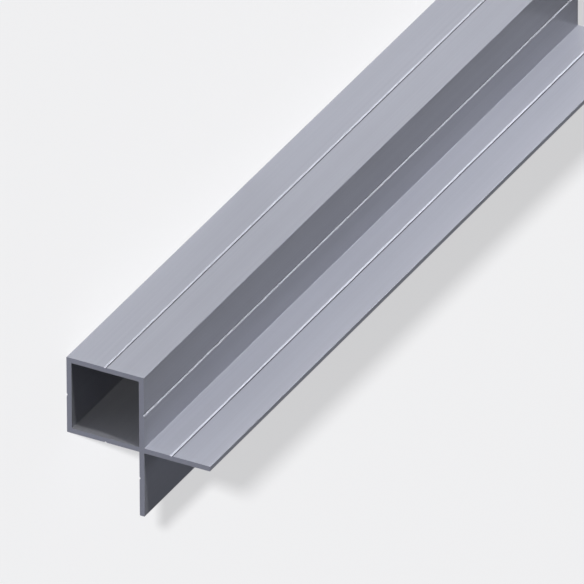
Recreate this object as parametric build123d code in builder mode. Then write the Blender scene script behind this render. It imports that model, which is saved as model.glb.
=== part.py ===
from build123d import *
import os

# An aluminium extrusion profile: a square tube with two flat fins, sawn square at both ends.
# One fin carries on the tube's top wall, the other its right wall, so the section is the same
# on both sides of its diagonal. The bar lies on one face of the tube, with its length along Y
# and the origin on the floor under the middle of its box.

# Bar
bar_length = 250.0

# Section
tube_width = 23.5  # outside of the square tube
wall = 1.5  # tube walls and fins alike
fin_reach = 20.0  # from the tube's face to the free edge of a fin

# Centring grooves, shallow Vs along the whole bar
groove_width = 0.9
groove_depth = 0.3
fin_groove_offset = 8.25  # from the tube's face to the middle of a fin's groove

# Corners
edge_radius = 0.15  # outer corners of the tube and free edges of the fins
root_radius = 0.15  # corners of the bore, and the roots of the fins

# Values that follow from these, measured from the tube's axis
tube_half = tube_width / 2
bore_width = tube_width - 2 * wall
inner_half = bore_width / 2
wall_middle = tube_half - wall / 2
fin_middle = tube_half + fin_reach / 2
fin_groove_place = tube_half + fin_groove_offset
wall_crossing = (wall_middle, wall_middle)  # where the two fins leave the tube

# The section stands on XZ, with its origin on the tube's axis
tube_axis = (-fin_reach / 2, 0, tube_half)
section_plane = Plane(origin=tube_axis, x_dir=(1, 0, 0), z_dir=(0, -1, 0))

# A groove's outline, cut into a face that looks along +X, and running out of it by its depth
groove_outline = [
    (groove_depth, -groove_width / 2),
    (0, -groove_width / 2),
    (-groove_depth, 0),
    (0, groove_width / 2),
    (groove_depth, groove_width / 2),
]

with BuildPart() as extruded_profile:
    with BuildSketch(section_plane) as section:
        # The tube's outside and the two fins
        Rectangle(tube_width, tube_width)
        with Locations((wall_middle, fin_middle)):
            Rectangle(wall, fin_reach)
        with Locations((fin_middle, wall_middle)):
            Rectangle(fin_reach, wall)

        # Three corners are roots of the fins, all others are outer ones
        root_count = 3
        outer_count = len(section.vertices()) - root_count
        fillet(section.vertices().sort_by_distance(wall_crossing)[:root_count], root_radius)
        fillet(section.vertices().sort_by_distance(wall_crossing)[-outer_count:], edge_radius)

        # The square bore
        RectangleRounded(bore_width, bore_width, root_radius, mode=Mode.SUBTRACT)

        # A groove in the middle of each face of the tube
        with PolarLocations(tube_half, 4):
            Polygon(*groove_outline, align=None, mode=Mode.SUBTRACT)

        # A groove on the left of the upright fin, and one on the underside of the side fin
        upright_groove = Location((inner_half, fin_groove_place, 0), (0, 0, 180))
        side_groove = Location((fin_groove_place, inner_half, 0), (0, 0, -90))
        with Locations(upright_groove, side_groove):
            Polygon(*groove_outline, align=None, mode=Mode.SUBTRACT)
    extrude(amount=bar_length / 2, both=True)

extruded_profile.part.label = "extruded_profile"

os.makedirs("parts", exist_ok=True)
export_step(extruded_profile.part, "parts/extruded_profile.step")

section_area = extruded_profile.part.volume / bar_length
print(f"section {section_area:.1f} mm2, volume {extruded_profile.part.volume:.0f} mm3")
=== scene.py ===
import bpy
from math import cos, hypot, radians, sin
from mathutils import Matrix, Vector


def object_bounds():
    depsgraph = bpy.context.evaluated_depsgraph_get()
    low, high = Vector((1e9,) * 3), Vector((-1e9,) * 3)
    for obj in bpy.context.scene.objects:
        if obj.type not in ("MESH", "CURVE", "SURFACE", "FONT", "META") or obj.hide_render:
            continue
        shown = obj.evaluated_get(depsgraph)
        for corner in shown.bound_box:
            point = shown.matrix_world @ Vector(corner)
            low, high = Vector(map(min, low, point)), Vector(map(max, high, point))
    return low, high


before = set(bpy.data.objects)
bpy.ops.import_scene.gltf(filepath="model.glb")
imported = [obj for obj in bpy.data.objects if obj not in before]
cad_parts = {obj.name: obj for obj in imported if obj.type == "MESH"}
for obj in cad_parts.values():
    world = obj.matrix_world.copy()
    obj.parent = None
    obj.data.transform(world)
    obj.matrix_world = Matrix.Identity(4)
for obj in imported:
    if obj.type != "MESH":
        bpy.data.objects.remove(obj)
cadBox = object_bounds()
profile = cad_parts["extruded_profile"]
print("frame loaded:", ", ".join(sorted(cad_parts)))


def vectorFrom(azimuth, elevation):
    # azimuth 0 looks from the front, -Y, and grows towards +X
    turn, lift = radians(azimuth), radians(elevation)
    return Vector((sin(turn) * cos(lift), -cos(turn) * cos(lift), sin(lift)))


# camera: a very long lens, because the bar's long edges run parallel in the picture
cameraSetup = {
    "azimuth": -34.696,
    "elevation": 23.867,
    "roll": 105.393,  # the bar lies on its side, so the camera is turned with it
    "target": (0.01429, -0.01548, 0.00962),
    "distance": 7.0314,
    "lens": 1600.0,
    "sensor": 36.0,
}


def makeCamera(setup):
    back = vectorFrom(setup["azimuth"], setup["elevation"])
    level = Vector((cos(radians(setup["azimuth"])), sin(radians(setup["azimuth"])), 0))
    right = Matrix.Rotation(radians(setup["roll"]), 3, back) @ level
    up = back.cross(right)
    data = bpy.data.cameras.new("productCamera")
    data.lens = setup["lens"]
    data.sensor_width = setup["sensor"]
    camera = bpy.data.objects.new("productCamera", data)
    camera.rotation_euler = Matrix((right, up, back)).transposed().to_euler()
    camera.location = Vector(setup["target"]) + back * setup["distance"]
    bpy.context.scene.collection.objects.link(camera)
    bpy.context.scene.camera = camera


makeCamera(cameraSetup)
print("camera placed")


# node helpers: a value is a number or another node's output

def feed(tree, socket, value):
    if isinstance(value, bpy.types.NodeSocket):
        tree.links.new(value, socket)
    else:
        socket.default_value = value


def calc(tree, operation, *values):
    node = tree.nodes.new("ShaderNodeMath")
    node.operation = operation
    for socket, value in zip(node.inputs, values):
        feed(tree, socket, value)
    return node.outputs[0]


def clamp(tree, value):
    node = tree.nodes.new("ShaderNodeClamp")
    feed(tree, node.inputs["Value"], value)
    return node.outputs[0]


def choose(tree, mask, off, on):
    return calc(tree, "MULTIPLY_ADD", mask, calc(tree, "SUBTRACT", on, off), off)


def spread(tree, value, middle, amount):
    # a 0 to 1 value becomes middle plus or minus half the amount
    return calc(tree, "MULTIPLY_ADD", calc(tree, "SUBTRACT", value, 0.5), amount, middle)


def blendColours(tree, factor, first, second):
    node = tree.nodes.new("ShaderNodeMix")
    node.data_type = "RGBA"
    feed(tree, node.inputs["Factor"], factor)
    feed(tree, node.inputs["A"], first)
    feed(tree, node.inputs["B"], second)
    return node.outputs["Result"]


def splitCoords(tree, output):
    coords = tree.nodes.new("ShaderNodeTexCoord")
    split = tree.nodes.new("ShaderNodeSeparateXYZ")
    tree.links.new(coords.outputs[output], split.inputs[0])
    return split.outputs


def joinCoords(tree, x, y, z):
    join = tree.nodes.new("ShaderNodeCombineXYZ")
    for socket, value in zip(join.inputs, (x, y, z)):
        feed(tree, socket, value)
    return join.outputs[0]


def addNoise(tree, dimensions, place, detail):
    # soft noise from 0 to 1, with waves about one unit of the place long
    node = tree.nodes.new("ShaderNodeTexNoise")
    node.noise_dimensions = dimensions
    node.inputs["Scale"].default_value = 1
    feed(tree, node.inputs["Detail"], detail)
    feed(tree, node.inputs["W" if dimensions == "1D" else "Vector"], place)
    return node.outputs["Fac"]


# floor
floorSetup = {
    "halfWidth": 3.0,
    "colour": (0.3, 0.3, 0.303, 1),
    "roughness": 0.9,
    "pale": (0.8, 0.8, 0.81, 1),
    "glow": 0.745,
}


def makeFloor(setup):
    half = setup["halfWidth"]
    corners = [(-half, -half, 0), (half, -half, 0), (half, half, 0), (-half, half, 0)]
    mesh = bpy.data.meshes.new("floor")
    mesh.from_pydata(corners, [], [(0, 1, 2, 3)])
    floor = bpy.data.objects.new("floor", mesh)
    bpy.context.scene.collection.objects.link(floor)
    material = bpy.data.materials.new("paleFloor")
    material.use_nodes = True
    tree = material.node_tree
    shader = tree.nodes["Principled BSDF"]
    shader.inputs["Base Color"].default_value = setup["colour"]
    shader.inputs["Roughness"].default_value = setup["roughness"]
    shader.inputs["Specular IOR Level"].default_value = 0
    shader.inputs["Emission Color"].default_value = setup["pale"]
    # camera, glossy and transmission rays see the pale tone, so that the metal mirrors it too
    path = tree.nodes.new("ShaderNodeLightPath")
    seen = calc(tree, "MAXIMUM", path.outputs["Is Camera Ray"], path.outputs["Is Glossy Ray"])
    seen = calc(tree, "MAXIMUM", seen, path.outputs["Is Transmission Ray"])
    feed(tree, shader.inputs["Emission Strength"], calc(tree, "MULTIPLY", seen, setup["glow"]))
    mesh.materials.append(material)
    return floor


floor = makeFloor(floorSetup)
print("floor made")


# light: suns far away, so that the bar is lit alike over its whole length
plainLight = (1, 1, 1)
warmLight = (1.03, 1, 0.92)
coolLight = (0.96, 0.98, 1.08)
barLamps = {
    # the faces that look left, the second lamp with a sharp edge in the front of the bore
    "lowLamp": {"azimuth": -91, "elevation": 5, "strength": 0.85, "softness": 16, "colour": plainLight},
    "keyLamp": {"azimuth": -83.9, "elevation": 30.5, "strength": 1.06, "softness": 2.5, "colour": warmLight},
    # from behind, for the glints in the grooves
    "rimLamp": {"azimuth": -144, "elevation": 13, "strength": 0.92, "softness": 14, "colour": coolLight},
    "ridgeLamp": {"azimuth": -167, "elevation": 39.5, "strength": 0.21, "softness": 6, "colour": coolLight},
    # the front end with the bore, and the faces that look right
    "boreLamp": {"azimuth": -33, "elevation": 2, "strength": 0.93, "softness": 4, "colour": warmLight},
    "rightLamp": {"azimuth": 97, "elevation": 5, "strength": 0.5, "softness": 20, "colour": coolLight},
}
floorLamps = {
    "shadowLamp": {
        "azimuth": -36.8, "elevation": 19.1, "strength": 7.9, "softness": 2.5, "colour": plainLight,
    },
}
worldSetup = {
    "dome": (0.08, 0.081, 0.083, 1),
    "below": (0.86, 0.86, 0.87, 1),  # past the floor's edge
    "horizon": 0.03,  # height over which one blends into the other
}


def makeReceivers(floor):
    # the lamps on the bar pass the floor by, so that one clean shadow lies there
    receivers = {}
    for name, state in (("bar", "EXCLUDE"), ("floor", "INCLUDE")):
        group = bpy.data.collections.new(name + "Receivers")
        group.objects.link(floor)
        group.collection_objects[0].light_linking.link_state = state
        receivers[name] = group
    return receivers


def makeLamp(name, setup, receivers):
    data = bpy.data.lights.new(name, "SUN")
    data.energy = setup["strength"]
    data.color = setup["colour"]
    data.angle = radians(setup["softness"])
    lamp = bpy.data.objects.new(name, data)
    towards = vectorFrom(setup["azimuth"], setup["elevation"])
    lamp.rotation_euler = towards.to_track_quat("Z", "Y").to_euler()
    lamp.light_linking.receiver_collection = receivers
    bpy.context.scene.collection.objects.link(lamp)


def makeWorld(setup):
    world = bpy.data.worlds.new("studio")
    world.use_nodes = True
    bpy.context.scene.world = world
    tree = world.node_tree
    height = calc(tree, "DIVIDE", splitCoords(tree, "Generated")["Z"], setup["horizon"])
    colour = blendColours(tree, height, setup["below"], setup["dome"])
    feed(tree, tree.nodes["Background"].inputs["Color"], colour)


lampReceivers = makeReceivers(floor)
for lampName, lampSetup in barLamps.items():
    makeLamp(lampName, lampSetup, lampReceivers["bar"])
for lampName, lampSetup in floorLamps.items():
    makeLamp(lampName, lampSetup, lampReceivers["floor"])
makeWorld(worldSetup)
bpy.context.scene.view_settings.view_transform = "Standard"
print("lamps and world set")


# section of the bar in metres, for the effects that follow its fins and grooves
section = {
    "tube": 0.0235,
    "wall": 0.0015,
    "groove": 0.0009,
    "grooveDepth": 0.0003,
    "finGroove": 0.00825,  # from the tube's face to the middle of a fin's groove
    "shadeEdge": 0.000075,  # how far the painted shade on a flank runs out over the face beside it
    "skin": 0.0001,  # keeps the tube's own faces out of the fins' mask
}
tubeLeft, tubeBottom = cadBox[0][0], cadBox[0][2]
tubeRight, tubeTop = tubeLeft + section["tube"], tubeBottom + section["tube"]
flankWidth = hypot(section["groove"] / 2, section["grooveDepth"])
paintedShadeReach = (flankWidth + section["shadeEdge"]) / 2


def findShadedFlanks(bar):
    # middles of the grooves' flanks that get painted shade, across the section, as x and z
    middle, height = tubeLeft + bar["tube"] / 2, tubeBottom + bar["tube"] / 2
    aside, deep = bar["groove"] / 4 + bar["shadeEdge"] / 2, bar["grooveDepth"] / 2
    # each groove: its middle on an upright or a level face, and the way into the metal
    upright = [
        (tubeLeft, height, 1),
        (tubeRight, height, -1),
        (tubeRight - bar["wall"], tubeTop + bar["finGroove"], 1),
    ]
    level = [
        (middle, tubeBottom, 1),
        (middle, tubeTop, -1),
        (tubeRight + bar["finGroove"], tubeTop - bar["wall"], 1),
    ]
    flanks = [(x + inwards * deep, z + aside) for x, z, inwards in upright]
    return flanks + [(x - aside, z + inwards * deep) for x, z, inwards in level]


# effects for the finish, each a node group

def makeGroup(name, inputs, outputs):
    tree = bpy.data.node_groups.new(name, "ShaderNodeTree")
    for label in inputs:
        tree.interface.new_socket(label, in_out="INPUT", socket_type="NodeSocketFloat")
    for label in outputs:
        tree.interface.new_socket(label, in_out="OUTPUT", socket_type="NodeSocketFloat")
    entry = tree.nodes.new("NodeGroupInput").outputs
    leave = tree.nodes.new("NodeGroupOutput").inputs
    return tree, entry, leave


def makeStreaks():
    # streaks that the die draws along the bar, or patches where Reach is the same as Spacing
    tree, entry, leave = makeGroup("streaks", ["Spacing", "Reach", "Detail"], ["Streaks"])
    coords = splitCoords(tree, "Object")
    across = calc(tree, "DIVIDE", coords["X"], entry["Spacing"])
    along = calc(tree, "DIVIDE", coords["Y"], entry["Reach"])
    upwards = calc(tree, "DIVIDE", coords["Z"], entry["Spacing"])
    place = joinCoords(tree, across, along, upwards)
    feed(tree, leave["Streaks"], addNoise(tree, "3D", place, entry["Detail"]))
    return tree


def makeFinMask():
    # the two fins, painted a little lighter than the tube as painted light, since less reflected light
    # reaches them
    tree, entry, leave = makeGroup("finMask", ["Tube Side", "Tube Top"], ["Fins"])
    coords = splitCoords(tree, "Object")
    beside = calc(tree, "GREATER_THAN", coords["X"], entry["Tube Side"])
    above = calc(tree, "GREATER_THAN", coords["Z"], entry["Tube Top"])
    feed(tree, leave["Fins"], calc(tree, "MAXIMUM", beside, above))
    return tree


def makeGrooveShade(flanks):
    # painted shade: one flank of each groove, coloured dark as if it lay in shade, fading at its edges
    tree, entry, leave = makeGroup("grooveShade", ["Reach", "Strength"], ["Shade"])
    coords = splitCoords(tree, "Object")
    place = joinCoords(tree, coords["X"], 0, coords["Z"])
    nearest = entry["Reach"]
    for flankX, flankZ in flanks:
        measure = tree.nodes.new("ShaderNodeVectorMath")
        measure.operation = "DISTANCE"
        feed(tree, measure.inputs[0], place)
        feed(tree, measure.inputs[1], (flankX, 0, flankZ))
        nearest = calc(tree, "MINIMUM", nearest, measure.outputs["Value"])
    nearness = calc(tree, "SUBTRACT", 1, calc(tree, "DIVIDE", nearest, entry["Reach"]))
    feed(tree, leave["Shade"], clamp(tree, calc(tree, "MULTIPLY", nearness, entry["Strength"])))
    return tree


def makeSawCut():
    # the sawn ends, which look along the bar, and the arcs that the blade leaves there
    inputs = ["Facing", "Centre X", "Centre Z", "Spacing", "Detail"]
    tree, entry, leave = makeGroup("sawCut", inputs, ["Cut", "Arcs"])
    lengthways = calc(tree, "ABSOLUTE", splitCoords(tree, "Normal")["Y"])
    feed(tree, leave["Cut"], calc(tree, "GREATER_THAN", lengthways, entry["Facing"]))
    coords = splitCoords(tree, "Object")
    across = calc(tree, "SUBTRACT", coords["X"], entry["Centre X"])
    above = calc(tree, "SUBTRACT", coords["Z"], entry["Centre Z"])
    squares = calc(tree, "ADD", calc(tree, "POWER", across, 2), calc(tree, "POWER", above, 2))
    place = calc(tree, "DIVIDE", calc(tree, "SQRT", squares), entry["Spacing"])
    feed(tree, leave["Arcs"], addNoise(tree, "1D", place, entry["Detail"]))
    return tree


effects = {
    "streaks": makeStreaks(),
    "finMask": makeFinMask(),
    "grooveShade": makeGrooveShade(findShadedFlanks(section)),
    "sawCut": makeSawCut(),
}
print("effects made:", ", ".join(effects))


# finish of the bar, with sizes in metres and tones as shares of the way from dark to light
aluminiumLook = {
    "dark": (0.385, 0.396, 0.444, 1),
    "light": (0.535, 0.55, 0.617, 1),
    "tubeTone": 0.3,
    # painted light: how much lighter the fins are coloured than the tube
    "finPaintedLight": 0.48,
    "bands": {"Spacing": 0.0032, "Reach": 1.5, "Detail": 2},
    "bandTone": 0.24,
    "dieLines": {"Spacing": 0.0006, "Reach": 0.5, "Detail": 2},
    "dieLineTone": 0.16,
    "film": {"Spacing": 0.045, "Reach": 0.045, "Detail": 3},
    "filmTone": 0.24,
    "hairLines": {"Spacing": 0.00014, "Reach": 0.08, "Detail": 2},
    "roughness": 0.78,
    "hairRoughness": 0.1,
    "coat": 0.45,
    "coatRoughness": 0.2,
    "dieDepth": 0.000004,
    "hairDepth": 0.0000015,
    "fins": {"Tube Side": tubeRight + section["skin"], "Tube Top": tubeTop + section["skin"]},
    "groove": {"Reach": paintedShadeReach, "Strength": 14},
    # painted shade for one flank of each groove
    "paintedGrooveShade": (0.05, 0.051, 0.058, 1),
    "saw": {"Facing": 0.5, "Centre X": -0.09, "Centre Z": -0.12, "Spacing": 0.00045, "Detail": 3},
    # the ends' tones, set darker than the faces' as painted shade; the arcs between them are the blade's
    # marks
    "cutDark": (0.31, 0.321, 0.389, 1),
    "cutLight": (0.393, 0.409, 0.486, 1),
    "cutRoughness": 0.78,
    "arcRoughness": 0.16,
    "arcDepth": 0.000012,
}


def addEffect(tree, effect, values):
    node = tree.nodes.new("ShaderNodeGroup")
    node.node_tree = effects[effect]
    for label, value in values.items():
        node.inputs[label].default_value = value
    return node.outputs


def makeAluminium(look):
    material = bpy.data.materials.new("anodisedAluminium")
    material.use_nodes = True
    tree = material.node_tree
    shader = tree.nodes["Principled BSDF"]
    shader.inputs["Metallic"].default_value = 1
    shader.inputs["Coat Roughness"].default_value = look["coatRoughness"]

    bands = addEffect(tree, "streaks", look["bands"])["Streaks"]
    dieLines = addEffect(tree, "streaks", look["dieLines"])["Streaks"]
    hairLines = addEffect(tree, "streaks", look["hairLines"])["Streaks"]
    film = addEffect(tree, "streaks", look["film"])["Streaks"]
    fins = addEffect(tree, "finMask", look["fins"])["Fins"]
    shade = addEffect(tree, "grooveShade", look["groove"])["Shade"]
    saw = addEffect(tree, "sawCut", look["saw"])

    # colour: bands, lines and slow patches on the faces, the fins painted lighter as painted light, painted
    # shade on one flank of each groove, and on the ends arcs on tones darkened as painted shade
    tone = spread(tree, bands, look["tubeTone"], look["bandTone"])
    tone = calc(tree, "ADD", tone, spread(tree, dieLines, 0, look["dieLineTone"]))
    tone = calc(tree, "ADD", tone, spread(tree, film, 0, look["filmTone"]))
    # painted light: the fins coloured lighter than the tube
    tone = calc(tree, "MULTIPLY_ADD", fins, look["finPaintedLight"], tone)
    faces = blendColours(tree, tone, look["dark"], look["light"])
    # painted shade: one flank of each groove turned near black
    faces = blendColours(tree, shade, faces, look["paintedGrooveShade"])
    # sawn ends: the blade's arcs, on tones set darker than the faces' as painted shade
    ends = blendColours(tree, saw["Arcs"], look["cutDark"], look["cutLight"])
    feed(tree, shader.inputs["Base Color"], blendColours(tree, saw["Cut"], faces, ends))

    # clear film over the metal, but not on the flanks with painted shade or on the sawn ends
    bare = calc(tree, "MAXIMUM", shade, saw["Cut"])
    feed(tree, shader.inputs["Coat Weight"], choose(tree, bare, look["coat"], 0))

    # roughness
    faceRoughness = spread(tree, hairLines, look["roughness"], look["hairRoughness"])
    endRoughness = spread(tree, saw["Arcs"], look["cutRoughness"], look["arcRoughness"])
    feed(tree, shader.inputs["Roughness"], choose(tree, saw["Cut"], faceRoughness, endRoughness))

    # relief, with heights in metres
    dieRelief = calc(tree, "MULTIPLY", dieLines, look["dieDepth"])
    faceRelief = calc(tree, "MULTIPLY_ADD", hairLines, look["hairDepth"], dieRelief)
    endRelief = calc(tree, "MULTIPLY", saw["Arcs"], look["arcDepth"])
    bump = tree.nodes.new("ShaderNodeBump")
    bump.inputs["Distance"].default_value = 1
    feed(tree, bump.inputs["Height"], choose(tree, saw["Cut"], faceRelief, endRelief))
    feed(tree, shader.inputs["Normal"], bump.outputs[0])
    return material


profile.data.materials.clear()
profile.data.materials.append(makeAluminium(aluminiumLook))
print("finish made")
